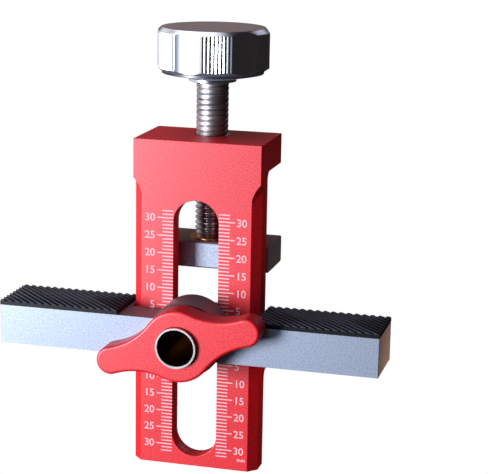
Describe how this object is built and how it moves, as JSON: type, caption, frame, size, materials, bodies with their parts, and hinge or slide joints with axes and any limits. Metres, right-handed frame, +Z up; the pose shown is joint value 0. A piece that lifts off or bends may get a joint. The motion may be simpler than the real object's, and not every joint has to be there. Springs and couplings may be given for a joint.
{
  "type": "cabinet door mounting jig",
  "caption": "Clamp-on cabinet door mounting jig: slotted red body with fixed jaw, screw clamp block, padded sliding crossbar and drill sleeve with wing nut.",
  "frame": {"origin": "centre of the fixed jaw's top face, where it meets the rear face of the plate", "axes": "+X along the crossbar to the right as seen from the front, +Y from the front to the back, +Z up along the clamp screw"},
  "size_m": [0.108, 0.0495, 0.1234],
  "materials": {
    "body_red": "matt red anodised, fine bead-blasted",
    "nut_red": "matt red anodised, fine bead-blasted",
    "block_grey": "matt grey anodised",
    "bar_grey": "matt blue-grey anodised",
    "knob_bright": "bright turned, satin top",
    "screw_steel": "bright rolled thread",
    "hardware_steel": "plain",
    "sleeve_steel": "ground",
    "bush_brass": "plain",
    "pad_rubber": "ribbed, matt"
  },
  "bodies": {
    "frame": {"body": "body_red"},
    "clamp": {"clamp_block": "block_grey", "screw_bush": "bush_brass"},
    "screw": {"clamp_screw": "screw_steel", "screw_washer": "hardware_steel", "retaining_clip": "hardware_steel", "knob": "knob_bright"},
    "support": {"crossbar": "bar_grey", "pad_left": "pad_rubber", "pad_right": "pad_rubber", "drill_sleeve": "sleeve_steel"},
    "wing": {"wing_nut": "nut_red"}
  },
  "joints": [
    {"name": "clamp_slide", "type": "slide", "parent": "frame", "child": "clamp", "axis": [0, 0, 1], "range_m": [-0.0144, 0.0195]},
    {"name": "knob_turn", "type": "hinge", "parent": "clamp", "child": "screw", "pos_m": [0, 0.0076, 0.05], "axis": [0, 0, 1], "range_deg": [-3456.01, 4680.01]},
    {"name": "bar_slide", "type": "slide", "parent": "frame", "child": "support", "axis": [0, 0, 1], "range_m": [-0.0315, 0.031]},
    {"name": "wing_nut_turn", "type": "hinge", "parent": "support", "child": "wing", "pos_m": [0, -0.021, 0.0045], "axis": [0, -1, 0], "range_deg": [0, 360]}
  ],
  "couplings": [
    {"joint": "knob_turn", "follows": "clamp_slide", "rad_per_m": 4188.8}
  ]
}
